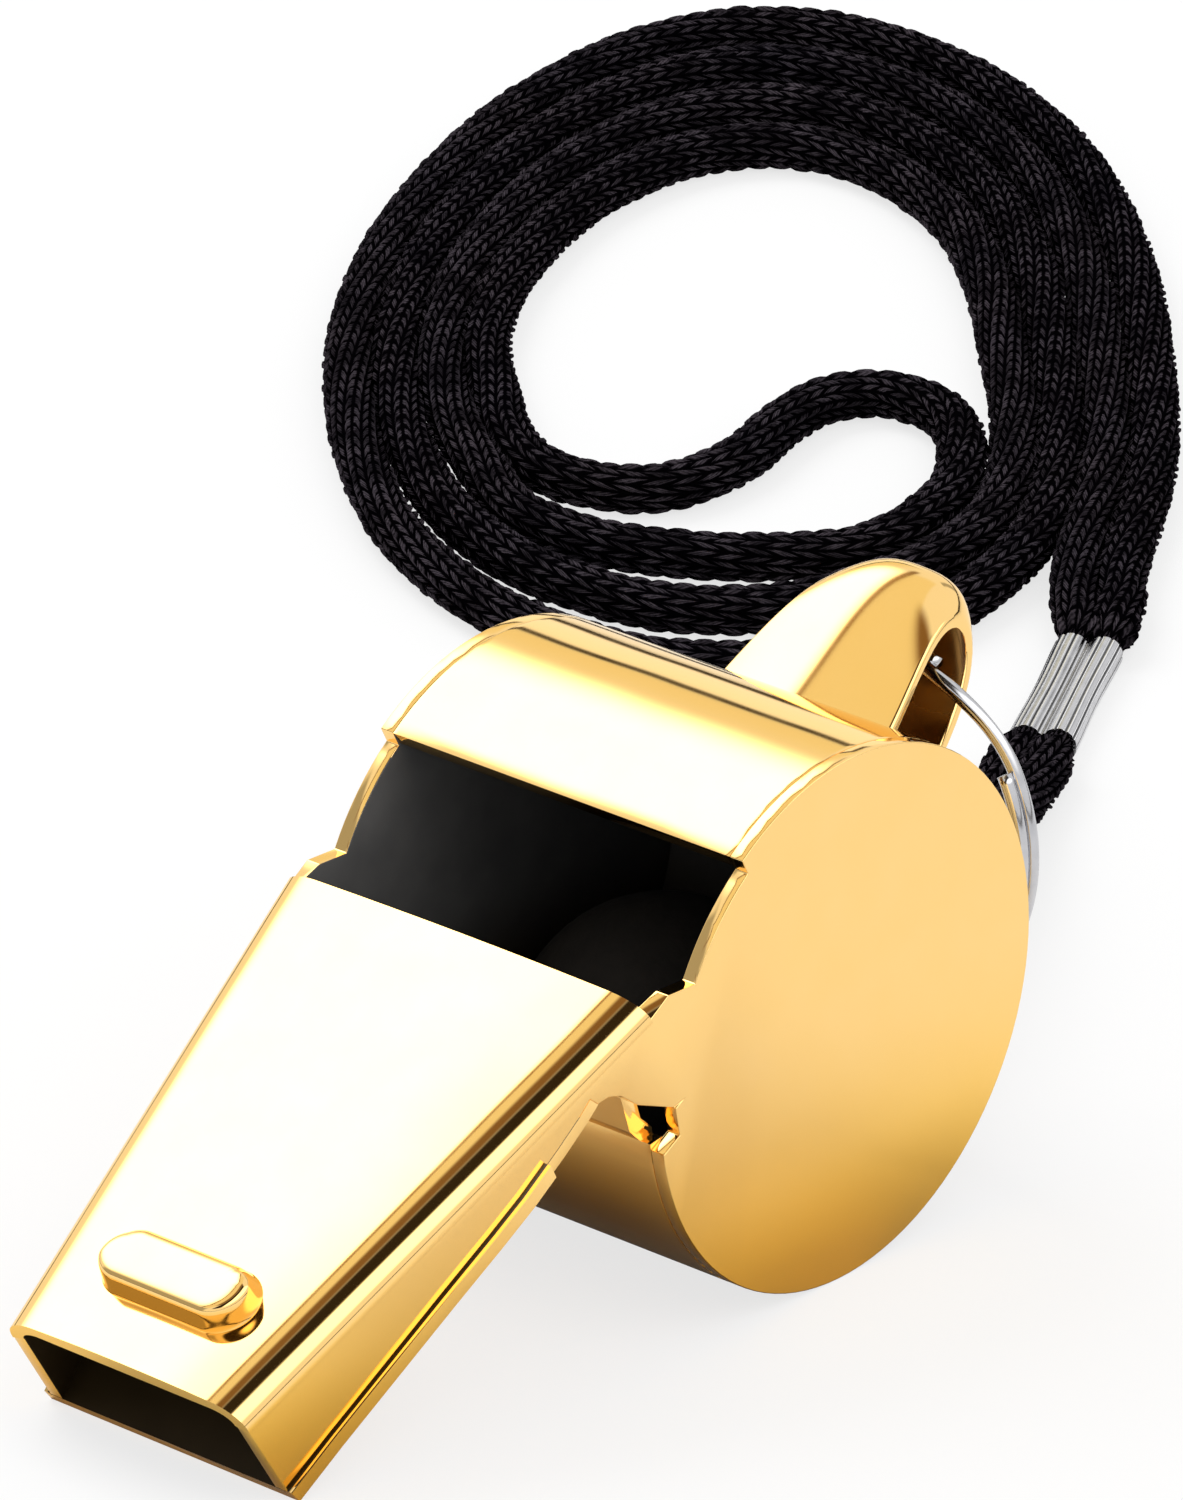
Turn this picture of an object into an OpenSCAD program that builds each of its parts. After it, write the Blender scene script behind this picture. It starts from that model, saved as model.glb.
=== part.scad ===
// Sports whistle of folded sheet metal with a ball inside, a split ring
// through its rear eye and a knitted lanyard lying in a coil behind it.
// Millimetres, +Z up. The whistle lies on its barrel and on the lower front
// edge of its mouthpiece. The mouthpiece points toward -X.

/* [Barrel] */
// Outside diameter of the barrel
barrel_d = 22; // [20:0.5:25]
// Width of the whistle over both side plates
whistle_w = 18.1; // [16:0.1:22]
// Thickness of the side plates
side_t = 0.65; // [0.5:0.05:0.8]
// Thickness of the barrel's curved band
band_t = 0.7; // [0.5:0.05:0.8]
// Angle of the lip in front of the barrel's crown
lip_angle = 8; // [4:1:12]

/* [Mouthpiece] */
// Reach of the mouthpiece from the barrel's axis to its front edge
reach = 30.4; // [27:0.2:36]
// Width of the mouthpiece over its side plates at the front edge
mouth_w = 11.9; // [10:0.1:15]
// Height of the top plate above the barrel's axis at the sound window
top_rear_h = 10.1; // [9.8:0.1:10.6]
// Height of the top plate above the barrel's axis at the front edge
top_front_h = 9.6; // [9:0.1:10.2]
// Height of the floor's underside above the barrel's axis at the front edge
floor_front_h = 4; // [3.4:0.05:4.6]
// Thickness of the top plate
top_t = 0.5; // [0.4:0.05:0.6]
// Thickness of the floor plate
floor_t = 0.55; // [0.4:0.05:0.7]
// Height of the floor plate's flanges outside the side plates
flange_h = 0.65; // [0.6:0.05:1.2]
// Thickness of the floor plate's flanges
flange_t = 0.25; // [0.2:0.05:0.5]
// Drop of the top plate's rolled edge below its underside at the window
fold_rear = 0.1; // [0.05:0.05:0.2]
// Drop of the rolled edge below the plate's underside at the front edge
fold_front = 0.25; // [0.1:0.05:0.5]

/* [Tooth bead] */
// Length of the bead across the top plate
bead_w = 7.2; // [6:0.2:8.4]
// Thickness of the bead from front to rear
bead_t = 3; // [2.4:0.1:3.6]
// Height of the bead above the top plate
bead_h = 1.1; // [0.8:0.1:1.4]

/* [Rear eye] */
// Reach of the eye outside the barrel
ear_reach = 7.8; // [7.2:0.1:9]
// Outside distance between the eye's two legs
ear_span = 4.4; // [4:0.1:5]
// Width of the eye's strip where it meets the barrel
ear_foot_w = 8.6; // [7:0.2:10]
// Width of the eye's strip at its outer end
ear_end_w = 5.6; // [4.6:0.2:6]
// Thickness of the eye's strip
ear_t = 0.5; // [0.4:0.05:0.6]
// Direction of the eye, behind the barrel's crown
ear_angle = 84.5; // [82:0.5:88]

/* [Ball] */
// Diameter of the ball
pea_d = 12; // [11:0.5:13.5]
// Running gap between the ball and the barrel's wall
pea_gap = 0.3; // [0.3:0.05:0.6]

/* [Split ring] */
// Mean diameter of the ring's wire
ring_d = 15; // [14:0.5:15.5]
// Diameter of the ring's wire
wire_d = 0.6; // [0.5:0.05:0.7]
// Gap between the ring's two turns
turn_gap = 0.03; // [0.02:0.01:0.08]
// Angle over which the wire steps from one turn to the next
step_angle = 40; // [30:5:60]

/* [Ferrule] */
// Length of the crimped ferrule
ferrule_l = 10; // [8:0.5:12]
// Diameter of each of the ferrule's two lobes
lobe_d = 1.6; // [1.5:0.05:1.8]
// Distance between the middles of the lobes
lobe_gap = 1.4; // [1.3:0.05:1.5]
// Bore of each lobe
lobe_bore = 1; // [0.8:0.05:1.1]

/* [Lanyard] */
// Diameter of the cord
cord_d = 1.5; // [1.2:0.05:1.5]
// Diameter of the cord where the ferrule squeezes it
crimp_d = 1.2; // [1:0.05:1.2]
// Rings of the cord along one loop of the coil
loop_rings = 24; // [24:6:36]

/* [Hidden] */
$fn = 96;

gold = [0.86, 0.66, 0.30];
steel = [0.78, 0.79, 0.80];
cork = [0.62, 0.45, 0.28];
black = [0.07, 0.07, 0.08];

barrel_r = barrel_d / 2;
half_w = whistle_w / 2;
// The mouthpiece starts to narrow and the top plate ends here
neck_share = 0.76;
neck = neck_share * barrel_r;
// One overrun serves every cut
over = barrel_r / 10;

// Outlines are pairs of forward and upward places seen from the side
function side(pts) = [for (p = pts) [-p[0], p[1]]];
function mix(a, b, t) = a + (b - a) * t;

// A strip of sheet along a line of points, with its thickness on the left
function unit(v) = v / norm(v);
function left_of(v) = [-v[1], v[0]];
function line_way(pts, i) =
    i == 0 ? unit(pts[1] - pts[0]) :
    i == len(pts) - 1 ? unit(pts[i] - pts[i - 1]) :
    unit(unit(pts[i + 1] - pts[i]) + unit(pts[i] - pts[i - 1]));
function line_stretch(pts, i) =
    i == 0 || i == len(pts) - 1 ? 1 :
    1 / (line_way(pts, i) * unit(pts[i + 1] - pts[i]));
function beside(pts, t) = [for (i = [0:len(pts) - 1])
    pts[i] + left_of(line_way(pts, i)) * line_stretch(pts, i) * t];
function reversed(pts) = [for (i = [len(pts) - 1:-1:0]) pts[i]];
function strip(pts, t) = concat(pts, reversed(beside(pts, t)));

// Front wall of the barrel, from the round band up to the throat: first
// two points on the round band, then shares of the barrel's radius and
// of the throat's height
throat_share = 0.78;
throat_h = throat_share * top_rear_h;
riser_start = 15;
riser_leave = 20;
riser_shares = [[0.965, 0.58], [0.94, 0.795], [0.985, 0.93],
    [1.03, 0.985], [1.075, 1]];
riser_line = concat(
    [for (a = [riser_start, riser_leave]) [cos(a), sin(a)] * barrel_r],
    [for (p = riser_shares) [p[0] * barrel_r, p[1] * throat_h]]);
throat = riser_line[len(riser_line) - 1];
// Underside of the floor, as shares of the way from the throat to the mouth
floor_shares = [[0, 1], [0.04, 0.92], [0.12, 0.8], [0.24, 0.65],
    [0.34, 0.56], [0.5, 0.435], [0.67, 0.29], [0.86, 0.135], [1, 0]];
// The mouth's lower edge lies a little behind its upper edge
rake_share = 0.014;
mouth_low = reach * (1 - rake_share);
floor_line = [for (p = floor_shares) [mix(throat[0], mouth_low, p[0]),
    mix(floor_front_h, throat[1], p[1])]];
// Start of the flanges, as a share of the way from the throat to the mouth
flange_share = 0.165;
flange_start = mix(throat[0], mouth_low, flange_share);

// Sound window's front corner in the side plates: a point on the round
// inside of the band, then one on the way to the top plate
notch_shares = [0.84, 0.92];
notch_on_share = 0.53;
notch_low = [sqrt(pow(barrel_r - band_t, 2)
    - pow(notch_shares[0] * top_rear_h, 2)), notch_shares[0] * top_rear_h];
notch = [notch_low, [mix(notch_low[0], neck, notch_on_share),
    notch_shares[1] * top_rear_h]];
// Relief between the round plate and the bent neck
relief_corner_shares = [0.82, 0.6];
relief_low_shares = [0.85, 0.32];
relief_out_share = 1.05;
relief_corner = [relief_corner_shares[0] * barrel_r,
    relief_corner_shares[1] * throat_h];
relief = [riser_line[3], relief_corner, relief_low_shares * barrel_r,
    [relief_out_share * barrel_r, relief_low_shares[1] * barrel_r],
    [relief_out_share * barrel_r, relief_corner[1]]];
inner_share = 0.25;

function half_at(f) = f < neck ? half_w :
    mix(half_w, mouth_w / 2, (f - neck) / (reach - neck));
function top_at(f) =
    mix(top_rear_h, top_front_h, (f - neck) / (reach - neck));
function fold_at(f) = top_t +
    mix(fold_rear, fold_front, (f - neck) / (reach - neck));

// The whistle leans forward until belly and mouth both touch the ground
lean = asin(barrel_r / norm([mouth_low, floor_front_h]))
    + atan2(floor_front_h, mouth_low);
ear_out = barrel_r + ear_reach;
ear_way = [sin(ear_angle), cos(ear_angle)];
ear_side = [-cos(ear_angle), sin(ear_angle)];
function leaned(x, z) = [x * cos(lean) - z * sin(lean),
    x * sin(lean) + z * cos(lean)];
front_x = leaned(-reach, top_front_h)[0];
// The eye's squared shoulder reaches furthest to the rear
ear_power = 0.42;
function ear_arc(s, shrink) =
    ear_way * (barrel_r - over / 2
    + (ear_reach + over / 2 - shrink) * pow(sin(s), ear_power))
    + ear_side * (ear_span / 2 - shrink) * cos(s);
rear_x = max([for (s = [10:5:170])
    leaned(ear_arc(s, 0)[0], ear_arc(s, 0)[1])[0]]);
shift_x = -(front_x + rear_x) / 2;

// Places a piece that is drawn level, with the barrel's axis at zero
module placed() {
    translate([shift_x, 0, barrel_r])
        rotate([0, -lean, 0])
            children();
}

// An outline seen from the side, thick to both sides of the middle
module slab(half) {
    rotate([90, 0, 0])
        linear_extrude(height = 2 * half, center = true)
            children();
}

// A plan outline, high enough for the whole mouthpiece
module plan(pts) {
    linear_extrude(height = 4 * barrel_r, center = true)
        polygon([for (p = pts) [-p[0], p[1]]]);
}

// Neck of a side plate, seen from the side
neck_outline = concat(notch,
    [[neck, top_at(neck) - fold_at(neck)],
    [reach, top_at(reach) - fold_at(reach)]],
    reversed(beside(floor_line, floor_t)),
    [for (i = [len(riser_line) - 1:-1:3]) riser_line[i]],
    [relief_corner, [neck, relief_corner[1]],
    [inner_share * barrel_r, inner_share * barrel_r]]);

module disc_outline() {
    lip = [sin(lip_angle), cos(lip_angle)] * barrel_r;
    difference() {
        circle(r = barrel_r, $fn = 180);
        // Sound window, down to the inside of the band
        difference() {
            polygon(side([[lip[0], barrel_r / 2],
                [lip[0], 2 * barrel_r], [2 * barrel_r, 2 * barrel_r],
                [2 * barrel_r, barrel_r / 2]]));
            circle(r = barrel_r - band_t, $fn = 180);
        }
        // The bent neck takes over in front of this corner
        polygon(side([[neck, relief_corner[1]],
            [2 * barrel_r, relief_corner[1]],
            [2 * barrel_r, 2 * barrel_r], [neck, 2 * barrel_r]]));
    }
}

// Side plate: a round end wall and a neck that bends inward
module cheek(dir) {
    difference() {
        union() {
            intersection() {
                slab(half_w) disc_outline();
                plan([[-2 * barrel_r, dir * half_w],
                    [2 * barrel_r, dir * half_w],
                    [2 * barrel_r, dir * (half_w - side_t)],
                    [-2 * barrel_r, dir * (half_w - side_t)]]);
            }
            intersection() {
                slab(half_w) polygon(side(neck_outline));
                plan([[0, dir * half_w], [neck, dir * half_w],
                    [reach, dir * mouth_w / 2],
                    [reach, dir * (mouth_w / 2 - side_t)],
                    [neck, dir * (half_w - side_t)],
                    [0, dir * (half_w - side_t)]]);
            }
        }
        slab(half_w + over)
            polygon(side(relief));
    }
}

module cheek_near() {
    color(gold) placed() cheek(-1);
}

module cheek_far() {
    color(gold) placed() cheek(1);
}

// Top plate: flat in the middle, its side edges rolled down
plate_steps = 5;
roll_steps = 5;
roll_rear = 1.35;
roll_front = 0.9;

function roll_at(f) =
    mix(roll_rear, roll_front, (f - neck) / (reach - neck));
function plate_half(f, shrink) = concat(
    [for (i = [0:1]) [(half_at(f) - roll_at(f)) * i / 2,
        top_at(f) - (shrink > 0 ? top_t : 0)]],
    [for (i = [0:roll_steps])
        [half_at(f) - roll_at(f)
        + (roll_at(f) - shrink) * sin(90 * i / roll_steps),
        top_at(f) - fold_at(f)
        + (fold_at(f) - (shrink > 0 ? top_t : 0))
        * cos(90 * i / roll_steps)]]);
function both_sides(pts) = concat(
    [for (i = [len(pts) - 1:-1:1]) [-pts[i][0], pts[i][1]]], pts);
function plate_section(f) = concat(both_sides(plate_half(f, 0)),
    reversed(both_sides(plate_half(f, side_t))));

module top_plate() {
    sections = [for (i = [0:plate_steps])
        mix(neck, reach, i / plate_steps)];
    n = len(plate_section(neck));
    pts = [for (f = sections) for (p = plate_section(f))
        [-f, p[0], p[1]]];
    last = plate_steps * n;
    walls = [for (k = [0:plate_steps - 1]) for (i = [0:n - 1])
        for (t = [0, 1]) t == 0 ?
            [k * n + i, k * n + (i + 1) % n, (k + 1) * n + i] :
            [k * n + (i + 1) % n, (k + 1) * n + (i + 1) % n,
                (k + 1) * n + i]];
    caps = [for (i = [0:n / 2 - 2]) for (t = [0:3])
        t == 0 ? [i + 1, i, n - 1 - i] :
        t == 1 ? [i + 1, n - 1 - i, n - 2 - i] :
        t == 2 ? [last + i, last + i + 1, last + n - 1 - i] :
        [last + i + 1, last + n - 2 - i, last + n - 1 - i]];
    color(gold) placed()
        polyhedron(points = pts, faces = concat(walls, caps),
            convexity = 6);
}

// Bead across the top plate that stops behind the teeth, drawn as long
// rings with round ends that shrink upward to a narrow flat top
bead_place = 4;
bead_levels = 5;
bead_points = 24;
bead_top_angle = 75;

module tooth_bead() {
    n = bead_points;
    m = bead_levels;
    pts = concat([for (k = [0:m - 1]) for (i = [0:n - 1])
        let (tip = bead_top_angle * k / (m - 1),
            a = 360 * (i + 1 / 2) / n,
            r = bead_t / 2 * cos(tip),
            end = (bead_w - bead_t) / 2 * sign(sin(a)))
        [r * cos(a), end + r * sin(a), bead_h * sin(tip)]],
        [[0, 0, 0], [0, 0, bead_h * sin(bead_top_angle)]]);
    walls = [for (k = [0:m - 2]) for (i = [0:n - 1]) for (t = [0, 1])
        let (a = k * n + i, b = k * n + (i + 1) % n,
            c = (k + 1) * n + (i + 1) % n, d = (k + 1) * n + i)
        t == 0 ? [a, c, b] : [a, d, c]];
    caps = [for (i = [0:n - 1]) for (t = [0, 1])
        t == 0 ? [m * n, i, (i + 1) % n] :
        [m * n + 1, (m - 1) * n + (i + 1) % n, (m - 1) * n + i]];
    slope = atan2(top_rear_h - top_front_h, reach - neck);
    color(gold) placed()
        translate([-(reach - bead_place), 0, top_at(reach - bead_place)])
            rotate([0, -slope, 0])
                polyhedron(points = pts, faces = concat(walls, caps),
                    convexity = 4);
}

// Floor of the mouthpiece with flanges outside the side plates
module floor_plate() {
    color(gold) placed()
        union() {
            intersection() {
                slab(half_w + flange_t)
                    polygon(side(strip(floor_line, floor_t)));
                plan(concat(
                    [for (f = [throat[0], flange_start])
                        [f, half_at(f)]],
                    [for (f = [flange_start, reach])
                        [f, half_at(f) + flange_t]],
                    [for (f = [reach, flange_start])
                        [f, -half_at(f) - flange_t]],
                    [for (f = [flange_start, throat[0]])
                        [f, -half_at(f)]]));
            }
            for (dir = [-1, 1])
                intersection() {
                    slab(half_w + flange_t)
                        polygon(side(strip(floor_line, flange_h)));
                    plan([[flange_start, dir * half_at(flange_start)],
                        [reach, dir * mouth_w / 2],
                        [reach, dir * (mouth_w / 2 + flange_t)],
                        [flange_start,
                        dir * (half_at(flange_start) + flange_t)]]);
                }
        }
}

// Curved band of the barrel, from the lip round the rear to the riser
module barrel_band() {
    lip_end = [sin(lip_angle), cos(lip_angle)] * 2 * barrel_r;
    riser_end = unit(riser_line[1]) * 2 * barrel_r;
    color(gold) placed()
        union() {
            slab(half_w - side_t)
                difference() {
                    circle(r = barrel_r, $fn = 180);
                    circle(r = barrel_r - band_t, $fn = 180);
                    polygon(side([[0, 0], lip_end,
                        [2 * barrel_r, 2 * barrel_r], riser_end]));
                }
            slab(half_at(throat[0]) - side_t)
                polygon(side(strip(riser_line, band_t)));
        }
}

// Arched strip on the back of the barrel, open from side to side
ear_steps = 24;
ear_across = 8;
// The strip's outer edge drops toward both sides by this share
ear_crown_share = 0.19;

function ear_point(s, v, shrink) =
    let (rise = pow(sin(s), ear_power),
        out = barrel_r - over / 2 + (ear_reach + over / 2 - shrink)
            * (1 - ear_crown_share * abs(v * v * v)) * rise,
        p = ear_way * out + ear_side * (ear_span / 2 - shrink) * cos(s))
    [p[0], v * mix(ear_foot_w, ear_end_w, sqrt(sin(s))) / 2, p[1]];

module lanyard_ear() {
    n = ear_across + 1;
    m = ear_steps + 1;
    angles = [for (i = [0:ear_steps]) 180 * i / ear_steps];
    shares = [for (j = [0:ear_across]) 2 * j / ear_across - 1];
    pts = [for (shrink = [0, ear_t]) for (s = angles) for (v = shares)
        ear_point(s, v, shrink)];
    // Corner numbers of the outer sheet (k = 0) and inner sheet (k = 1)
    function at(k, i, j) = (k * m + i) * n + j;
    sheets = [for (k = [0, 1]) for (i = [0:m - 2]) for (j = [0:n - 2])
        for (t = [0, 1])
            let (a = at(k, i, j), b = at(k, i, j + 1),
                c = at(k, i + 1, j + 1), d = at(k, i + 1, j))
            k == 0 ? (t == 0 ? [a, b, c] : [a, c, d]) :
            (t == 0 ? [a, c, b] : [a, d, c])];
    rims = [for (j = [0, n - 1]) for (i = [0:m - 2]) for (t = [0, 1])
        let (a = at(0, i, j), b = at(0, i + 1, j),
            c = at(1, i + 1, j), d = at(1, i, j))
        j == 0 ? (t == 0 ? [a, b, c] : [a, c, d]) :
        (t == 0 ? [a, c, b] : [a, d, c])];
    feet = [for (i = [0, m - 1]) for (j = [0:n - 2]) for (t = [0, 1])
        let (a = at(0, i, j), b = at(0, i, j + 1),
            c = at(1, i, j + 1), d = at(1, i, j))
        i == 0 ? (t == 0 ? [a, c, b] : [a, d, c]) :
        (t == 0 ? [a, b, c] : [a, c, d])];
    color(gold) placed()
        difference() {
            polyhedron(points = pts, faces = concat(sheets, rims, feet),
                convexity = 6);
            slab(half_w) circle(r = barrel_r, $fn = 180);
        }
}

// Cork ball, resting on the bottom of the barrel
module pea() {
    color(cork)
        translate([shift_x, 0, band_t + pea_gap + pea_d / 2])
            sphere(d = pea_d, $fn = 64);
}

// Sweeps a round cord along points, with its flat sides counted by n
function tangent(path, i) =
    i == 0 ? unit(path[1] - path[0]) :
    i == len(path) - 1 ? unit(path[i] - path[i - 1]) :
    unit(path[i + 1] - path[i - 1]);
function frames(path, way, i = 0, acc = []) =
    i == len(path) ? acc :
    let (t = tangent(path, i), w = way - (way * t) * t, u = unit(w))
    frames(path, u, i + 1, concat(acc, [[u, cross(t, u)]]));

module tube(path, diameters, n, way = [0, 0, 1]) {
    rings = len(path);
    fr = frames(path, way);
    pts = concat(
        [for (i = [0:rings - 1]) for (k = [0:n - 1])
            path[i] + (fr[i][0] * cos(360 * (k + 1 / 2) / n)
            + fr[i][1] * sin(360 * (k + 1 / 2) / n)) * diameters[i] / 2],
        [path[0], path[rings - 1]]);
    walls = [for (i = [0:rings - 2]) for (k = [0:n - 1]) for (t = [0, 1])
        let (a = i * n + k, b = i * n + (k + 1) % n,
            c = (i + 1) * n + (k + 1) % n, d = (i + 1) * n + k)
        t == 0 ? [a, c, b] : [a, d, c]];
    caps = [for (k = [0:n - 1]) for (t = [0, 1])
        t == 0 ? [rings * n, k, (k + 1) % n] :
        [rings * n + 1, (rings - 1) * n + (k + 1) % n,
            (rings - 1) * n + k]];
    polyhedron(points = pts, faces = concat(walls, caps), convexity = 10);
}

// Split ring: two turns of wire side by side, hanging in the rear eye.
// The wire's top middle lies in the eye at these shares of its sizes.
ring_out_share = 0.59;
ring_up_share = 0.16;
ring_top = leaned(
    (ear_way * (barrel_r + ring_out_share * ear_reach)
    + ear_side * ring_up_share * ear_span / 2)[0],
    (ear_way * (barrel_r + ring_out_share * ear_reach)
    + ear_side * ring_up_share * ear_span / 2)[1])
    + [shift_x, barrel_r];
ring_mid = [ring_top[0], 0, ring_top[1] - ring_d / 2];
ring_rings = 48;
ring_sides = 8;
ring_start = 150;

module split_ring() {
    whole = 720 - step_angle;
    count = 2 * ring_rings;
    pitch = wire_d + turn_gap;
    // The wire keeps to one turn, steps over, and keeps to the other
    function aside(a) = a < 360 - step_angle ? -1 :
        a > 360 ? 1 : mix(-1, 1, (a - 360 + step_angle) / step_angle);
    path = [for (i = [0:count])
        let (a = whole * i / count)
        ring_mid + [aside(a) * pitch / 2,
            cos(a + ring_start) * ring_d / 2,
            sin(a + ring_start) * ring_d / 2]];
    color(steel)
        tube(path, [for (p = path) wire_d], ring_sides, [1, 0, 0]);
}

// Routes of the lanyard. The coil's centre, its way, how far it is drawn
// out along that way, and the reach of its outermost and innermost
// strand in 12 directions are chosen by hand.
coil_mid = [75, 53];
coil_way = 40;
coil_stretch = 2.5;
coil_out = [18.8, 19.1, 17.9, 16.9, 16.3, 17, 18.8, 19.4, 18.1, 17.7,
    18.2, 19.2];
coil_in = [11.2, 11.4, 10.6, 9.8, 9.7, 10.5, 11.8, 11.4, 9.9, 9.4, 10.4,
    12.4];
// Strands between the outermost and the innermost reach
coil_strands = 3.5;
coil_start = -30;
first_turns = 600;
second_turns = 585;
cord_z = 0.9;
// The bight turned back into the coil's middle
bight = [[54.5, 48], [54, 45], [54.5, 42], [56, 39], [58, 36.5],
    [60.5, 34.5], [63.5, 34], [66.5, 34.5], [69.5, 35.5], [72.5, 37.5],
    [75, 40], [76, 42.5], [75.5, 44.8], [73, 46], [69.5, 45.5],
    [66, 44.5], [63, 44.3], [60.5, 45], [59, 47], [58.8, 50],
    [60.5, 53.3]];

function curve(p0, p1, p2, p3, t) =
    (2 * p1 + (p2 - p0) * t + (2 * p0 - 5 * p1 + 4 * p2 - p3) * t * t
    + (3 * p1 - p0 - 3 * p2 + p3) * t * t * t) / 2;
function round_list(list, a) =
    let (n = len(list), x = (a / 360 - floor(a / 360)) * n,
        i = floor(x), t = x - i)
    curve(list[(i + n - 1) % n], list[i % n], list[(i + 1) % n],
        list[(i + 2) % n], t);
// Strand 0 or 1 of the doubled cord, at angle a from its start
function coil_point(strand, a) =
    let (s = (strand + a / 180) / coil_strands,
        reach_here = mix(round_list(coil_out, a), round_list(coil_in, a), s),
        across = reach_here * cos(a),
        along = reach_here * sin(a) * coil_stretch)
    [coil_mid[0] + across * sin(coil_way) + along * cos(coil_way),
        coil_mid[1] - across * cos(coil_way) + along * sin(coil_way)];
function turns(strand, whole) =
    [for (i = [0:floor(whole * loop_rings / 360)])
        coil_point(strand, coil_start + i * 360 / loop_rings)];
first_strand = turns(0, first_turns);
second_strand = reversed(turns(1, second_turns));
bight_hold = concat(
    [for (i = [len(first_strand) - 2:len(first_strand) - 1])
        first_strand[i]],
    bight, [second_strand[0], second_strand[1]]);
bight_curve = [for (i = [1:len(bight_hold) - 3]) for (t = [0, 1 / 2])
    curve(bight_hold[i - 1], bight_hold[i], bight_hold[i + 1],
        bight_hold[i + 2], t)];
coil_route = [for (p = concat(
    [for (i = [0:len(first_strand) - 2]) first_strand[i]],
    bight_curve, second_strand)) [p[0], p[1], cord_z]];

// Least gap of the coil to itself, measured between its points and the
// lines that join them, leaving out near neighbours along the cord
function line_gap(p, a, b) =
    let (t = max(0, min(1, (p - a) * (b - a) / ((b - a) * (b - a)))))
    norm(p - a - (b - a) * t);
near_rings = 4;
coil_gap = min([for (i = [0:len(coil_route) - 1])
    for (j = [0:len(coil_route) - 2])
        if (abs(i - j) > near_rings)
            line_gap(coil_route[i], coil_route[j], coil_route[j + 1])])
    - cord_d;
function route_length(path) = len(path) < 2 ? 0 :
    [for (p = path) 1] * [for (i = [0:len(path) - 1])
        i == 0 ? 0 : norm(path[i] - path[i - 1])];
echo(coil_gap = coil_gap, coil_length = route_length(coil_route));
echo(shift_x = shift_x, lean = lean, ring_top = ring_top);

module lanyard_coil() {
    color(black)
        tube(coil_route, [for (p = coil_route) cord_d], 6);
}

// Ferrule: its near end, and the way toward the coil
ferrule_at = [51, 15.8];
ferrule_way = 27.3;
ferrule_z = cord_z;

module at_ferrule() {
    translate([ferrule_at[0], ferrule_at[1], ferrule_z])
        rotate([0, 0, ferrule_way])
            children();
}

module ferrule() {
    color(steel)
        at_ferrule()
            rotate([0, 90, 0])
                difference() {
                    for (dir = [-1, 1])
                        translate([0, dir * lobe_gap / 2, 0])
                            cylinder(d = lobe_d, h = ferrule_l, $fn = 48);
                    for (dir = [-1, 1])
                        translate([0, dir * lobe_gap / 2, -over])
                            cylinder(d = lobe_bore,
                                h = ferrule_l + 2 * over, $fn = 48);
                }
}

function ferrule_point(along, aside) =
    [ferrule_at[0] + along * cos(ferrule_way) - aside * sin(ferrule_way),
        ferrule_at[1] + along * sin(ferrule_way)
        + aside * cos(ferrule_way), cord_z];

// The two strands from the ferrule to the coil
tail_a = concat([ferrule_point(ferrule_l, -lobe_gap / 2),
    ferrule_point(ferrule_l + cord_d, -lobe_gap / 2)],
    [[62.8, 21.3, cord_z], [64.6, 22.4, cord_z]],
    [coil_route[0] - tangent(coil_route, 0) * cord_d, coil_route[0]]);
coil_end = coil_route[len(coil_route) - 1];
tail_b = concat([ferrule_point(ferrule_l, lobe_gap / 2),
    ferrule_point(ferrule_l + cord_d, lobe_gap / 2)],
    [[62.4, 23, cord_z], [64.2, 24.5, cord_z]],
    [coil_end + tangent(coil_route, len(coil_route) - 1) * cord_d,
        coil_end]);
function squeezed(path) = [for (i = [0:len(path) - 1])
    i < 2 ? crimp_d : cord_d];

module lanyard_tails() {
    color(black) {
        tube(tail_a, squeezed(tail_a), 8);
        tube(tail_b, squeezed(tail_b), 8);
    }
}

// The cord's eye round the split ring's lowest wire: upper strand from
// the ferrule, bend round the wire, lower strand back to the ferrule.
// Points are run toward the ferrule, sideways and height.
eye_r = 1.8;
ring_low = [ring_mid[0], 0, ring_mid[2] - ring_d / 2];
eye_base = [20.4, 0];
eye_way = 27.3;
eye_upper = [[28, -0.7, 1.5], [23, -0.7, 2.6], [18, -0.6, 3.9],
    [13, -0.4, 5.1], [8.5, -0.2, 6.1], [5, 0, 6.7], [2.5, 0, 6.9]];
eye_lower = [[3, 0, 3], [7, 0.1, 2.5], [12, 0.3, 1.9], [17, 0.5, 1.4],
    [22, 0.7, 1], [27, 0.7, 0.9]];

function eye_point(p) =
    [eye_base[0] + p[0] * cos(eye_way) - p[1] * sin(eye_way),
        eye_base[1] + p[0] * sin(eye_way) + p[1] * cos(eye_way), p[2]];
bend = [for (a = [90:30:270])
    [eye_r * cos(a) * cos(eye_way), eye_r * cos(a) * sin(eye_way),
        eye_r * sin(a)] + ring_low];
eye_route = concat([ferrule_point(0, -lobe_gap / 2),
    ferrule_point(-cord_d, -lobe_gap / 2)],
    [for (p = eye_upper) eye_point(p)], bend,
    [for (p = eye_lower) eye_point(p)],
    [ferrule_point(-cord_d, lobe_gap / 2),
        ferrule_point(0, lobe_gap / 2)]);
echo(eye_length = route_length(eye_route),
    tails = route_length(tail_a) + route_length(tail_b));

module lanyard_eye() {
    n = len(eye_route);
    color(black)
        tube(eye_route, [for (i = [0:n - 1])
            i < 2 || i > n - 3 ? crimp_d : cord_d], 8);
}

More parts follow.
